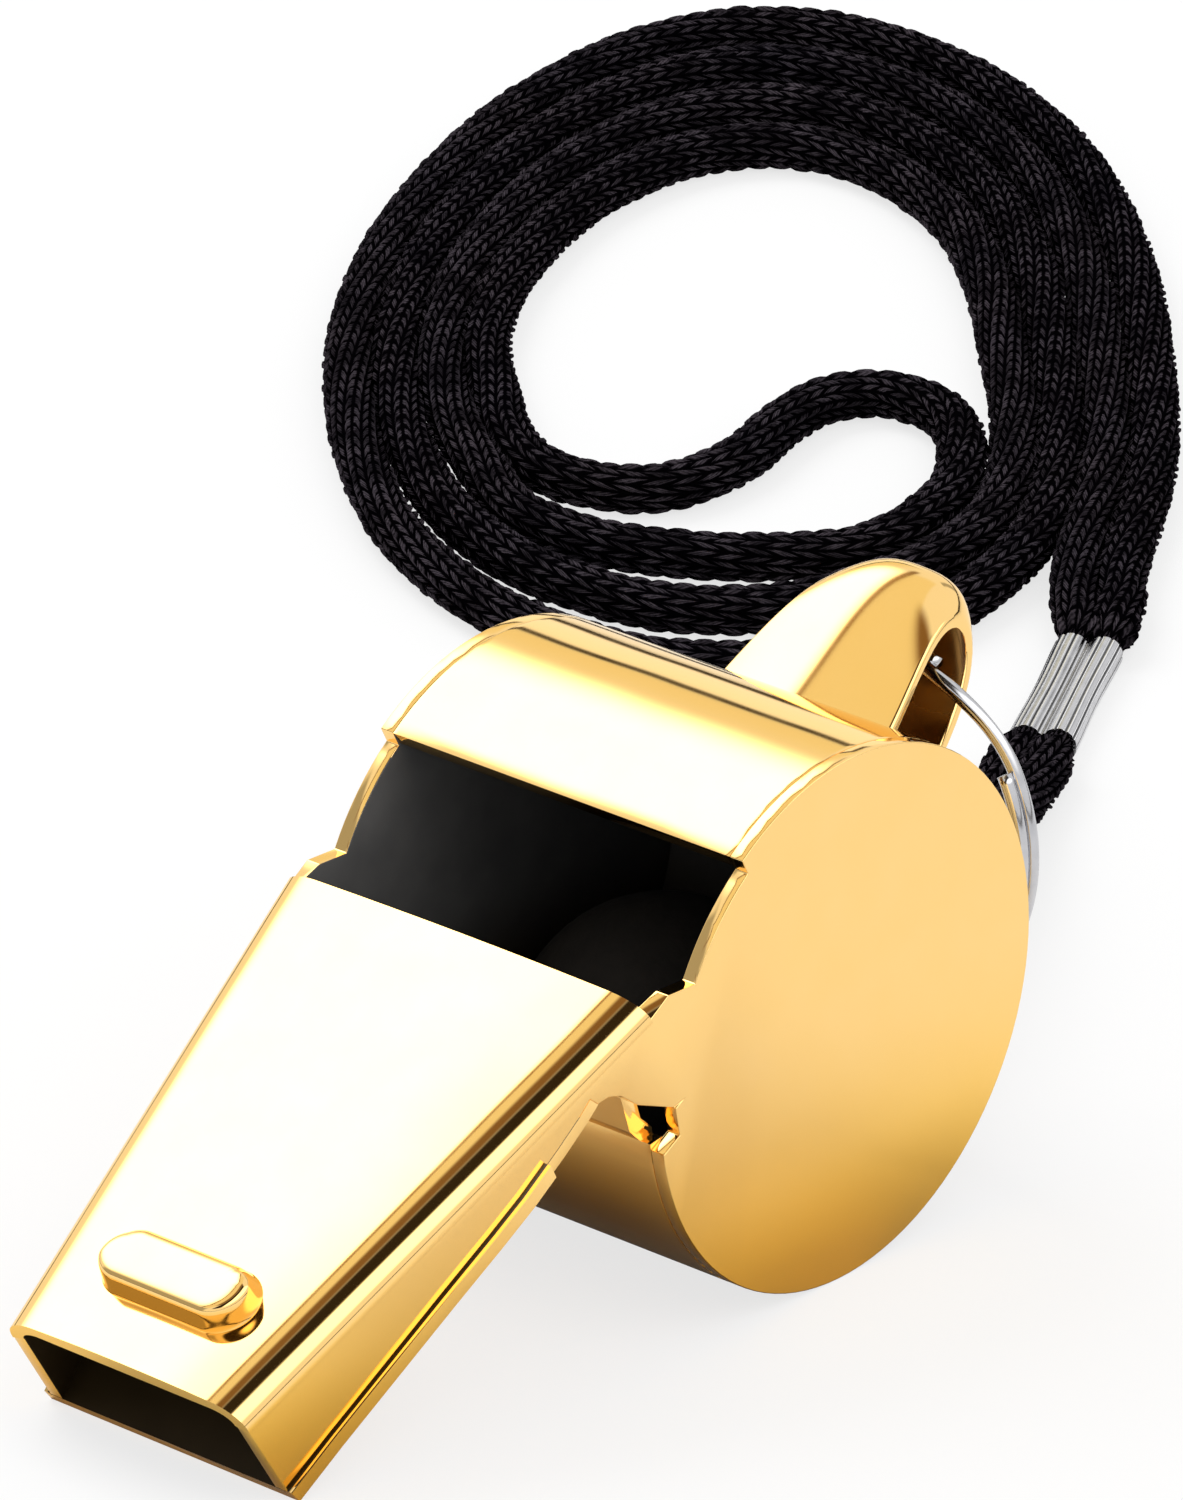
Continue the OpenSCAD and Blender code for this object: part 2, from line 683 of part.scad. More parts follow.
cheek_near();
cheek_far();
top_plate();
tooth_bead();
floor_plate();
barrel_band();
lanyard_ear();
pea();
split_ring();
ferrule();
lanyard_eye();
lanyard_tails();
lanyard_coil();
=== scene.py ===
"""Pea whistle of polished metal with a split ring, a crimped ferrule and a coiled knitted lanyard."""
import math
import random
import bmesh
import bpy
from mathutils import Matrix, Vector


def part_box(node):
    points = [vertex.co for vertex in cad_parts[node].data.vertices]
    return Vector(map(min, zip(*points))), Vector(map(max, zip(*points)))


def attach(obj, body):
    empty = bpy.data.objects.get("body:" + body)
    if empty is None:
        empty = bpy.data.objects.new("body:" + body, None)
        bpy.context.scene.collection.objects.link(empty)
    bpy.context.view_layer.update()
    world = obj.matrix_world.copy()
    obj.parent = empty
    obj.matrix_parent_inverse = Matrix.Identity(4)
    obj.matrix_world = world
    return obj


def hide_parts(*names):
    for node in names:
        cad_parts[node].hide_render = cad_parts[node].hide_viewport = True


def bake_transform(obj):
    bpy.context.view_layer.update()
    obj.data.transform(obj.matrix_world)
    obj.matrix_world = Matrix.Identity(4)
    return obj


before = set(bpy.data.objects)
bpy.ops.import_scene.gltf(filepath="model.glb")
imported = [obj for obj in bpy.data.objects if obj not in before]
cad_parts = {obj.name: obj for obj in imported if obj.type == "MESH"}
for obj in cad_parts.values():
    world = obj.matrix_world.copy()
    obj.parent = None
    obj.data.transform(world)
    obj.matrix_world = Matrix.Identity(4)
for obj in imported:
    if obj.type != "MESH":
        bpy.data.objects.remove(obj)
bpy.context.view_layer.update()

MM = 0.001
X = Vector((1, 0, 0))
Z = Vector((0, 0, 1))

# Camera: where it looks from and to, in millimetres and degrees
VIEW_AZIMUTH = -50.0
VIEW_ELEVATION = 23.94
VIEW_ROLL = 1.22
VIEW_MIDDLE = Vector((8.2, 4.4, 18.0)) * MM
VIEW_DISTANCE = 522.3 * MM
VIEW_LENS = 325.3


def set_camera():
    azimuth, elevation, roll = (math.radians(a) for a in (VIEW_AZIMUTH, VIEW_ELEVATION, VIEW_ROLL))
    back = Vector((math.sin(azimuth) * math.cos(elevation), -math.cos(azimuth) * math.cos(elevation),
                   math.sin(elevation)))
    level = Vector((math.cos(azimuth), math.sin(azimuth), 0))
    upright = back.cross(level)
    right = level * math.cos(roll) + upright * math.sin(roll)
    up = back.cross(right)
    data = bpy.data.cameras.new("camera")
    data.lens = VIEW_LENS
    data.sensor_width = 36
    camera = bpy.data.objects.new("camera", data)
    camera.matrix_world = Matrix.Translation(VIEW_MIDDLE + back * VIEW_DISTANCE) @ Matrix(
        (right, up, back)).transposed().to_4x4()
    bpy.context.scene.collection.objects.link(camera)
    bpy.context.scene.camera = camera


set_camera()

# Lines that the cords follow


def soft_step(value):
    """Rises smoothly from 0 at 0 to 1 at 1, and is flat on both sides."""
    held = min(max(value, 0), 1)
    return held * held * (3 - 2 * held)


def spline_point(p0, p1, p2, p3, t):
    return (2 * p1 + (p2 - p0) * t + (2 * p0 - 5 * p1 + 4 * p2 - p3) * t * t
            + (3 * p1 - p0 - 3 * p2 + p3) * t * t * t) / 2


def smooth_line(points, steps):
    """A line that runs smoothly through points, with this many steps between two of them."""
    held = [2 * points[0] - points[1]] + points + [2 * points[-1] - points[-2]]
    line = [spline_point(*held[i:i + 4], step / steps)
            for i in range(len(points) - 1) for step in range(steps)]
    return line + [points[-1]]


def line_length(points):
    return sum((b - a).length for a, b in zip(points, points[1:]))


def even_line(points, count):
    """The same line with count even steps."""
    step = line_length(points) / count
    line, gone, i = [], 0.0, 0
    for k in range(count + 1):
        while i < len(points) - 2 and gone + (points[i + 1] - points[i]).length < k * step:
            gone += (points[i + 1] - points[i]).length
            i += 1
        part = points[i + 1] - points[i]
        line.append(points[i] + part * min(1.0, (k * step - gone) / part.length))
    return line


# The coil, in millimetres and degrees: its reach is given for the outermost
# and the innermost strand in twelve directions
COIL_MID = (75, 53)
COIL_WAY = math.radians(40)
COIL_STRETCH = 2.5
COIL_OUT = (18.8, 19.1, 17.9, 16.9, 16.3, 17, 18.8, 19.4, 18.1, 17.7, 18.2, 19.2)
COIL_IN = (11.2, 11.4, 10.6, 9.8, 9.7, 10.5, 11.8, 11.4, 9.9, 9.4, 10.4, 12.4)
COIL_STRANDS = 3.5
COIL_START = -30
FIRST_TURNS = 600
SECOND_TURNS = 585
LOOP_STEP = 15
CORD_Z = 0.9
# The knitted cord is thicker than its solid and lies this much higher
CORD_LIFT = 0.24
BIGHT = ((54.5, 48), (54, 45), (54.5, 42), (56, 39), (58, 36.5), (60.5, 34.5), (63.5, 34), (66.5, 34.5),
         (69.5, 35.5), (72.5, 37.5), (75, 40), (76, 42.5), (75.5, 44.8), (73, 46), (69.5, 45.5),
         (66, 44.5), (63, 44.3), (60.5, 45), (59, 47), (58.8, 50), (60.5, 53.3))
FERRULE_AT = (51, 15.8)
FERRULE_LENGTH = 10
# Direction in which the ferrule and the cord's eye lie
STRAND_ANGLE = math.radians(27.3)
STRAND_WAY = Vector((math.cos(STRAND_ANGLE), math.sin(STRAND_ANGLE), 0))
LOBE_GAP = 1.4
# Lines pressed along each of the ferrule's lobes
FLUTES = 9
CORD_WIDTH = 2.26
CRIMP_WIDTH = 1.1
# Columns of stitches round the cord
WALES = 8
# How deep the cord's ends are drawn into the ferrule, and how soon they swell outside it
TUCK = 3
CRIMP_RUN = 1.5
# Steps of a smooth line between two of its points
LINE_STEPS = 8


def flat_point(x, y):
    return Vector((x, y, CORD_Z + CORD_LIFT)) * MM


def reach_toward(reaches, angle):
    place = angle / 360 % 1 * len(reaches)
    i = int(place)
    return spline_point(*(reaches[(i + k) % len(reaches)] for k in (-1, 0, 1, 2)), place - i)


def coil_point(strand, angle):
    inward = (strand + angle / 180) / COIL_STRANDS
    reach = (1 - inward) * reach_toward(COIL_OUT, angle) + inward * reach_toward(COIL_IN, angle)
    across = reach * math.cos(math.radians(angle))
    along = reach * math.sin(math.radians(angle)) * COIL_STRETCH
    return flat_point(COIL_MID[0] + across * math.sin(COIL_WAY) + along * math.cos(COIL_WAY),
                      COIL_MID[1] - across * math.cos(COIL_WAY) + along * math.sin(COIL_WAY))


def ferrule_point(along, aside, height=CORD_Z):
    return (Vector((*FERRULE_AT, height)) + STRAND_WAY * along + Z.cross(STRAND_WAY) * aside) * MM


def strand_turns(strand, whole):
    return [coil_point(strand, COIL_START + LOOP_STEP * i) for i in range(whole // LOOP_STEP + 1)]


def lanyard_line():
    side = LOBE_GAP / 2
    lifted = CORD_Z + CORD_LIFT
    first = [ferrule_point(FERRULE_LENGTH - TUCK, -side),
             ferrule_point(FERRULE_LENGTH + CRIMP_RUN, -side, lifted),
             flat_point(62.8, 21.3), flat_point(64.6, 22.4)]
    last = [flat_point(64.2, 24.5), flat_point(62.4, 23),
            ferrule_point(FERRULE_LENGTH + CRIMP_RUN, side, lifted),
            ferrule_point(FERRULE_LENGTH - TUCK, side)]
    bight = [flat_point(*p) for p in BIGHT]
    return smooth_line(first + strand_turns(0, FIRST_TURNS) + bight
                       + strand_turns(1, SECOND_TURNS)[::-1] + last, LINE_STEPS)


# The split ring: its mean diameter, its wire, and how many degrees its step takes
RING_MEAN = 15
RING_MIDDLE = Vector((20.42, 0, 12.61)) * MM
WIRE = 0.6
WIRE_PITCH = 0.63
STEP_ANGLE = 40
RING_START = 150
# The cord's eye round the ring's lowest wire: run toward the ferrule,
# sideways and height, in millimetres
EYE_BEND = 1.8
EYE_BASE = Vector((20.4, 0, 0))
EYE_UPPER = ((28, -0.7, 1.5), (23, -0.7, 2.6), (18, -0.6, 3.9), (13, -0.4, 5.1), (8.5, -0.2, 6.1),
             (5, 0, 6.7), (2.5, 0, 6.9))
EYE_LOWER = ((3, 0, 3), (7, 0.1, 2.6), (12, 0.3, 2.1), (17, 0.5, 1.6), (22, 0.7, 1.25), (27, 0.7, 1.16))


def eye_point(run, aside, height):
    return (EYE_BASE + STRAND_WAY * run + Z.cross(STRAND_WAY) * aside + Z * height) * MM


def eye_line():
    side = LOBE_GAP / 2
    low = RING_MIDDLE - Z * RING_MEAN / 2 * MM
    bend = [low + (STRAND_WAY * math.cos(a) + Z * math.sin(a)) * EYE_BEND * MM
            for a in (math.radians(90 + 30 * k) for k in range(7))]
    lifted = CORD_Z + CORD_LIFT
    return smooth_line([ferrule_point(TUCK, -side), ferrule_point(-CRIMP_RUN, -side, lifted)]
                       + [eye_point(*p) for p in EYE_UPPER] + bend
                       + [eye_point(*p) for p in EYE_LOWER]
                       + [ferrule_point(-CRIMP_RUN, side, lifted), ferrule_point(TUCK, side)], LINE_STEPS)


# Materials


class Shade:
    """A shader socket on which sums can be written as on a number."""

    def __init__(self, finish, socket):
        self.finish, self.socket = finish, socket

    def _sum(self, operation, first, second):
        return self.finish.add("Math", {"operation": operation}, {0: first, 1: second})

    def __add__(self, other):
        return self._sum("ADD", self, other)

    def __radd__(self, other):
        return self._sum("ADD", other, self)

    def __sub__(self, other):
        return self._sum("SUBTRACT", self, other)

    def __rsub__(self, other):
        return self._sum("SUBTRACT", other, self)

    def __mul__(self, other):
        return self._sum("MULTIPLY", self, other)

    def __rmul__(self, other):
        return self._sum("MULTIPLY", other, self)


class Finish:
    """A material, or the world, put together from shader nodes."""

    def __init__(self, owner):
        self.owner = owner
        owner.use_nodes = True
        self.tree = owner.node_tree
        self.tree.nodes.clear()

    def add(self, kind, settings=(), sockets=(), out=0):
        """Adds a node: its settings, then the values or links of its sockets. Gives one output."""
        node = self.tree.nodes.new("ShaderNode" + kind)
        for name, value in dict(settings).items():
            setattr(node, name, value)
        for key, value in dict(sockets).items():
            if isinstance(value, Shade):
                self.tree.links.new(value.socket, node.inputs[key])
            else:
                node.inputs[key].default_value = value
        return Shade(self, node.outputs[out]) if len(node.outputs) else None

    def parts(self, vector):
        """The three parts of a vector."""
        first = self.add("SeparateXYZ", {}, {0: vector})
        return [Shade(self, output) for output in first.socket.node.outputs]

    def blend(self, share, low, high):
        """A colour between two colours."""
        return self.add("Mix", {"data_type": "RGBA"}, {0: share, 6: low, 7: high}, out=2)

    def between(self, value, low, high):
        """Rises smoothly from 0 at low to 1 at high."""
        return self.add("MapRange", {"interpolation_type": "SMOOTHSTEP"},
                        {"Value": value, "From Min": low, "From Max": high})

    def band(self, value, low, high, soft):
        """One between low and high, with soft borders."""
        past = self.between(value, high - soft, high + soft)
        return self.between(value, low - soft, low + soft) * (1 - past)

    def noise(self, vector, scale, detail=2.0):
        return self.add("TexNoise", {}, {"Vector": vector, "Scale": scale, "Detail": detail})

    def place(self):
        return self.add("TexCoord", out="Object")

    def coat(self, sockets):
        """Ends the material with one skin and gives the material."""
        skin = self.add("BsdfPrincipled", {}, sockets)
        self.add("OutputMaterial", {}, {"Surface": skin})
        return self.owner


def new_material(name):
    return Finish(bpy.data.materials.new(name))


# Tones of the plating: its faint haze, and the painted shade on its lower parts
# and its underside, and the heights and the forward places between which they change
GOLD_HAZE = ((0.985, 0.645, 0.23, 1), (1.0, 0.67, 0.265, 1))
PAINTED_SHADE_LOW = (0.98, 0.58, 0.08, 1)
PAINTED_SHADE_LOWEST = (0.66, 0.36, 0.05, 1)
PAINTED_SHADE_UNDER = (0.18, 0.075, 0.002, 1)
GOLD_TINT = (1.0, 0.94, 0.80, 1)
LOW_SHADE_HEIGHTS = (0.0, 0.012)
LOWEST_SHADE_HEIGHTS = (0.0, 0.006)
UNDER_SHADE_HEIGHTS = (0.0035, 0.0125)
UNDER_SHADE_PLACES = (-0.008, -0.004)


def gold_plate():
    """Polished gold plating, hardly wavy, with faint haze, and painted shade that deepens its tone toward
    the underside.
    """
    gold = new_material("gold_plate")
    place = gold.place()
    forward, _, height = gold.parts(place)
    upward = gold.parts(gold.add("TexCoord", out="Normal"))[2]
    wave = gold.noise(place, 110.0, 1.0)
    haze = gold.noise(place, 420.0, 4.0)
    # Painted shade: faces that do not look up darken toward the floor, and downward faces of the
    # underside darken most
    upright = 1 - gold.between(upward, -0.05, 0.2)
    low = (1 - gold.between(height, *LOW_SHADE_HEIGHTS)) * upright
    lowest_shade = (1 - gold.between(height, *LOWEST_SHADE_HEIGHTS)) * upright
    under = (1 - gold.between(height, *UNDER_SHADE_HEIGHTS)) * (1 - gold.between(upward, -0.35, -0.05))
    under = under * gold.between(forward, *UNDER_SHADE_PLACES)
    colour = gold.blend(haze, *GOLD_HAZE)
    for share, tone in ((low, PAINTED_SHADE_LOW), (lowest_shade, PAINTED_SHADE_LOWEST), (under, PAINTED_SHADE_UNDER)):
        colour = gold.blend(share, colour, tone)
    bump = gold.add("Bump", {}, {"Strength": 1.0, "Distance": 0.00008, "Height": wave})
    return gold.coat({"Base Color": colour, "Metallic": 1.0, "Specular Tint": GOLD_TINT,
                      "Roughness": 0.05 + 0.05 * haze, "Normal": bump})


def dull_and_shaded_inside():
    """The inside of the folded sheet: a dull finish with painted shade, brown near black in the mouth and
    grey in the barrel.
    """
    inside = new_material("dull_and_shaded_inside")
    place = inside.place()
    stain = inside.noise(place, 500.0, 4.0)
    height = inside.parts(place)[2]
    # Painted shade: the inside is near-black brown in the mouth and dark grey in the barrel
    mouth = inside.blend(stain, (0.016, 0.010, 0.003, 1), (0.034, 0.020, 0.006, 1))
    barrel = inside.blend(stain, (0.10, 0.10, 0.10, 1), (0.17, 0.165, 0.16, 1))
    colour = inside.blend(inside.between(height, 0.0065, 0.012), mouth, barrel)
    return inside.coat({"Base Color": colour, "Roughness": 0.4 + 0.2 * stain, "Specular IOR Level": 0.2})


def streaked_ear_inside():
    """The inside of the ear, its metal darker and browner than the outside, in streaks."""
    rubbed = new_material("streaked_ear_inside")
    streak = rubbed.noise(rubbed.place(), 260.0, 3.0)
    colour = rubbed.blend(streak, (0.05, 0.02, 0.004, 1), (0.55, 0.28, 0.07, 1))
    return rubbed.coat({"Base Color": colour, "Metallic": 1.0, "Roughness": 0.15 + 0.2 * streak})


def bright_steel():
    """Nickel-bright steel with fine lines from drawing."""
    steel = new_material("bright_steel")
    fine = steel.noise(steel.place(), 1800.0, 3.0)
    colour = steel.blend(fine, (0.44, 0.44, 0.46, 1), (0.64, 0.64, 0.66, 1))
    return steel.coat({"Base Color": colour, "Metallic": 1.0, "Roughness": 0.08 + 0.12 * fine})


def crimped_steel():
    """Bright steel with a painted dark line of shade in each flute along each lobe, and a painted
    highlight beside it.
    """
    steel = new_material("crimped_steel")
    across = steel.parts(steel.add("TexCoord", out="UV"))[0]
    fine = steel.noise(steel.place(), 1500.0, 3.0)
    # Painted shade in the bottom of each flute and a painted highlight on the edge beside it
    groove = steel.add("Math", {"operation": "PINGPONG"}, {0: across * FLUTES, 1: 0.5})
    line = steel.between(groove, 0.36, 0.44)
    edge = steel.between(groove, 0.22, 0.31) * (1 - steel.between(groove, 0.31, 0.37))
    colour = steel.blend(fine, (0.42, 0.42, 0.44, 1), (0.66, 0.66, 0.68, 1))
    colour = steel.blend(edge, colour, (0.95, 0.95, 0.96, 1))
    colour = steel.blend(0.93 * line, colour, (0.015, 0.015, 0.018, 1))
    return steel.coat({"Base Color": colour, "Metallic": 1.0, "Roughness": 0.12 + 0.12 * fine})


def dark_cork():
    """The ball, of cork that is dark with use."""
    cork = new_material("dark_cork")
    grain = cork.noise(cork.place(), 900.0, 5.0)
    colour = cork.blend(grain, (0.006, 0.005, 0.004, 1), (0.022, 0.017, 0.013, 1))
    bump = cork.add("Bump", {}, {"Strength": 0.5, "Distance": 0.0002, "Height": grain})
    return cork.coat({"Base Color": colour, "Roughness": 0.8, "Specular IOR Level": 0.3, "Normal": bump})


# Strands of yarn that cross one stitch
YARN_STRANDS = 4


def black_yarn():
    """Black yarn: strands that run along each leg of a stitch, with painted shade where legs tuck under
    and a painted highlight on each leg's crest.
    """
    yarn = new_material("black_yarn")
    around, stitches, _ = yarn.parts(yarn.add("TexCoord", out="UV"))
    place = yarn.place()
    fuzz = yarn.noise(place, 5200.0, 3.0)
    batch = yarn.noise(place, 160.0, 2.0)
    lap = yarn.add("Math", {"operation": "FRACT"}, {0: stitches})
    leg = yarn.add("Math", {"operation": "PINGPONG"}, {0: around * (2 * WALES), 1: 0.5})
    raised_leg = yarn.between(lap, 0.0, 0.35) * (1 - yarn.between(lap, 0.7, 1.0))
    raised_leg = raised_leg * yarn.between(leg, 0.0, 0.3)
    wave = yarn.add("Math", {"operation": "SINE"}, {0: stitches * (2 * math.pi * YARN_STRANDS)})
    strands = 0.5 + 0.5 * wave
    # Painted shade in the creases between legs, and a painted highlight on each leg's crest along its
    # strands, brighter on random stitches
    crease_shade_colour = yarn.blend(batch, (0.0010, 0.0008, 0.0016, 1), (0.0014, 0.0010, 0.0014, 1))
    painted_highlight_colour = yarn.blend(batch, (0.062, 0.054, 0.068, 1), (0.078, 0.063, 0.073, 1))
    uneven = yarn.between(yarn.noise(place, 750.0, 3.0), 0.36, 0.66)
    crest = yarn.between(raised_leg * (0.2 + 0.8 * fuzz) * (0.5 + 0.5 * strands), 0.12, 0.60)
    colour = yarn.blend(crest * (0.25 + 0.75 * uneven), crease_shade_colour, painted_highlight_colour)
    bump = yarn.add("Bump", {}, {"Strength": 0.8, "Distance": 0.00008,
                                 "Height": 0.4 * strands + 0.4 * fuzz + 1.2 * raised_leg})
    return yarn.coat({"Base Color": colour, "Roughness": 0.42, "Specular IOR Level": 0.0, "Normal": bump})


GOLD = gold_plate()
DULL_SHADED_INSIDE = dull_and_shaded_inside()
EAR_INSIDE = streaked_ear_inside()
STEEL = bright_steel()
CRIMPED = crimped_steel()
CORK = dark_cork()
YARN = black_yarn()

# Meshes


def add_piece(name, points, faces, material, body, replaced=(), smooth=True):
    mesh = bpy.data.meshes.new(name)
    mesh.from_pydata(points, [], faces)
    mesh.polygons.foreach_set("use_smooth", [smooth] * len(faces))
    mesh.materials.append(material)
    piece = bpy.data.objects.new(name, mesh)
    bpy.context.scene.collection.objects.link(piece)
    if body:
        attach(piece, body)
    if replaced:
        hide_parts(*replaced)
    return piece


def tube_faces(rings, sides):
    walls = [(i * sides + k, (i + 1) * sides + k,
              (i + 1) * sides + (k + 1) % sides, i * sides + (k + 1) % sides)
             for i in range(rings - 1) for k in range(sides)]
    return walls + [tuple(range(sides)), tuple(reversed(range((rings - 1) * sides, rings * sides)))]


def line_frames(line, upright):
    """For each point of a line: its way and two directions square to it, turned as little as can be."""
    frames = []
    for i in range(len(line)):
        way = (line[min(i + 1, len(line) - 1)] - line[max(i - 1, 0)]).normalized()
        upright = (upright - way * upright.dot(way)).normalized()
        frames.append((way, upright, way.cross(upright)))
    return frames


# One stitch of the knitted cord, and the rows and columns that draw it;
# each wale has two slanted legs of yarn
STITCH = 1.08 * MM
STITCH_ROWS = 4
LEG_COLUMNS = 2
LEG_LEAN = 1.0
KNIT_DEPTH = 0.27
# Height of a leg of yarn at the point of the V, and further along it
LEG_SHAPE = (0.35, 1.0)
# The cord lies a little flattened, and turns once in this length
CORD_FLAT = 0.92
CORD_TWIST = 62 * MM
# How far the legs stand out of the cord's nominal round, and which part of
# its arch a leg shows between two stitches
KNIT_PROUD = 1.08
ARCH_START = 0.04
ARCH_SHARE = 0.9
# The knitter's hand: how slack a leg can be, and stitches until it repeats
SLACKEST = 0.75
HAND_STITCHES = 97


def knit_ring(line, frames, row, width, hand):
    """One zigzag row of points round the cord: two slanted legs of yarn in each wale."""
    columns = WALES * 2 * LEG_COLUMNS
    step = (line[1] - line[0]).length
    points = []
    for k in range(columns):
        leg, part = divmod(k, LEG_COLUMNS)
        share = part / LEG_COLUMNS if leg % 2 == 0 else 1 - part / LEG_COLUMNS
        shape = LEG_SHAPE[part] if leg % 2 == 0 else LEG_SHAPE[-part]
        lap = row / STITCH_ROWS % 1
        bulge = 1 - (1 - math.sin(math.pi * (ARCH_START + ARCH_SHARE * lap))) ** 2
        place = min(max(row + LEG_LEAN * share * STITCH_ROWS, 0), len(line) - 1.001)
        i, t = int(place), place - int(place)
        middle = line[i].lerp(line[i + 1], t)
        up = frames[i][1].lerp(frames[i + 1][1], t)
        side = frames[i][2].lerp(frames[i + 1][2], t)
        angle = 2 * math.pi * (k / columns + place * step / CORD_TWIST)
        tension = hand[row // STITCH_ROWS % len(hand)][leg]
        reach = width / 2 * (KNIT_PROUD - KNIT_DEPTH * (1 - bulge * shape * tension))
        points.append(middle + (up * math.cos(angle) * CORD_FLAT + side * math.sin(angle)) * reach)
    return points


def knitted_cord(name, control, upright, squeezed):
    """A knitted cord along a line, drawn in where the ferrule squeezes its ends."""
    rows = round(line_length(control) / STITCH) * STITCH_ROWS
    line = even_line(control, rows)
    frames = line_frames(line, upright)
    draw = random.Random(len(name))
    hand = [[draw.uniform(SLACKEST, 1.0) for leg in range(2 * WALES)] for stitch in range(HAND_STITCHES)]
    points = []
    for row in range(rows - STITCH_ROWS):
        near_end = min(row, rows - STITCH_ROWS - row) * STITCH / STITCH_ROWS
        swell = soft_step((near_end - squeezed) / (CRIMP_RUN * MM))
        width = (CRIMP_WIDTH + (CORD_WIDTH - CRIMP_WIDTH) * swell) * MM
        points += knit_ring(line, frames, row, width, hand)
    sides = WALES * 2 * LEG_COLUMNS
    cord = add_piece(name, points, tube_faces(len(points) // sides, sides), YARN, None)
    number_stitches(cord.data, sides)
    return cord, line


def number_stitches(mesh, sides):
    """Gives each corner its share of the way round and its count of stitches along the cord."""
    marks = mesh.uv_layers.new(name="stitches").data
    for face in mesh.polygons:
        corners = [mesh.loops[i].vertex_index for i in face.loop_indices]
        wraps = len(corners) == 4 and any(c % sides == 0 for c in corners) and any(
            c % sides == sides - 1 for c in corners)
        for i, corner in zip(face.loop_indices, corners):
            around = corner % sides or (sides if wraps else 0)
            marks[i].uv = (around / sides, corner // sides / STITCH_ROWS)


lanyard, lanyard_rows = knitted_cord("knitted_lanyard", lanyard_line(), Z, TUCK * MM)
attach(lanyard, "whistle")
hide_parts("lanyard_coil", "lanyard_tails")
ferrule_point(FERRULE_LENGTH, -LOBE_GAP / 2)
line_length(lanyard_rows)

eye, eye_rows = knitted_cord("knitted_eye", eye_line(), Z, TUCK * MM)
eye_point(31, 0, 1.5)
eye_point(2.5, 0, 4.5)
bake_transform(eye)
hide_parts("lanyard_eye")
ferrule_point(0, -LOBE_GAP / 2)
line_length(eye_rows)


def split_ring():
    """Two turns of wire side by side, with a step between them."""
    steps, sides = 240, 12
    whole = 720 - STEP_ANGLE
    points = []
    for i in range(steps + 1):
        angle = whole * i / steps
        crossed = soft_step((angle - 360 + STEP_ANGLE) / STEP_ANGLE)
        aside = (crossed * 2 - 1) * WIRE_PITCH / 2 * MM
        along = math.radians(angle + RING_START)
        out = Vector((0, math.cos(along), math.sin(along)))
        middle = RING_MIDDLE + X * aside + out * RING_MEAN / 2 * MM
        for k in range(sides):
            turn = 2 * math.pi * k / sides
            points.append(middle + (X * math.cos(turn) + out * math.sin(turn)) * WIRE / 2 * MM)
    ring = add_piece("ring_wire", points, tube_faces(steps + 1, sides), STEEL, "ring", ["split_ring"])


split_ring()

# The ferrule: its lobes and its sheet, in mm, the depth and width of its
# flutes as shares of a lobe's radius and of a flute's span, and its waist
LOBE_RADIUS = 0.8
SLEEVE_WALL = 0.17
FLUTE_DEPTH = 0.1
FLUTE_WIDTH = 0.09
WAIST = 0.05
LOBE_STEPS = 60
SLEEVE_STEPS = 20


def sleeve_outline(wall):
    """Section of the sleeve: two fluted lobes that meet in a groove, as sideways and height."""
    radius = LOBE_RADIUS - wall
    meet = math.degrees(math.acos(min(1, LOBE_GAP / 2 / radius)))
    outline = []
    for side in (1, -1):
        for step in range(LOBE_STEPS + 1):
            angle = (step / LOBE_STEPS * 2 - 1) * (180 - meet)
            flute = math.exp(-((step / LOBE_STEPS * FLUTES % 1 - 0.5) / FLUTE_WIDTH) ** 2)
            reach = radius * (1 - FLUTE_DEPTH * flute * (wall == 0))
            turn = math.radians(angle)
            aside = LOBE_GAP / 2 + reach * math.cos(turn)
            outline.append((side * aside, side * reach * math.sin(turn)))
    return outline


def crimped_ferrule():
    """A sheet sleeve pressed round both strands of the cord."""
    steps = SLEEVE_STEPS
    outer, inner = sleeve_outline(0), sleeve_outline(SLEEVE_WALL)
    sides = len(outer)
    points = []
    for outline in (outer, inner):
        for i in range(steps + 1):
            share = i / steps
            pressed = 1 - WAIST * math.sin(math.pi * share) ** 2
            for aside, height in outline:
                points.append(ferrule_point(FERRULE_LENGTH * share, aside * pressed,
                                            CORD_Z + height * pressed))
    layer = (steps + 1) * sides
    faces = []
    for i in range(steps):
        for k in range(sides):
            a, b = i * sides + k, i * sides + (k + 1) % sides
            faces.append((a, a + sides, b + sides, b))
            faces.append((layer + b, layer + b + sides, layer + a + sides, layer + a))
    for k in range(sides):
        a, b = k, (k + 1) % sides
        faces.append((a, b, layer + b, layer + a))
        a, b = steps * sides + a, steps * sides + b
        faces.append((b, a, layer + a, layer + b))
    sleeve = add_piece("ferrule_sleeve", points, faces, CRIMPED, "whistle", ["ferrule"])
    marks = sleeve.data.uv_layers.new(name="flutes").data
    for loop, mark in zip(sleeve.data.loops, marks):
        step = loop.vertex_index % layer % sides % (LOBE_STEPS + 1)
        mark.uv = (step / LOBE_STEPS, loop.vertex_index // layer)
    ease_edges(sleeve, 0.03, 60)


# The whistle stands leaned forward on its barrel: shapes below are given
# level, as forward, sideways and upward from the barrel's axis, in mm
BARREL_RADIUS = 11
LEAN = math.radians(28.932)
SIDE = 0.65
REACH = 30.4
NECK = 8.36
MOUTH_WIDTH = 11.9
BARREL_WIDTH = 18.1
TOP_REAR = 10.1
TOP_FRONT = 9.6
TOP_SHEET = 0.5
# The plate's middle stands this much higher than its sides
PLATE_CROWN = 0.13
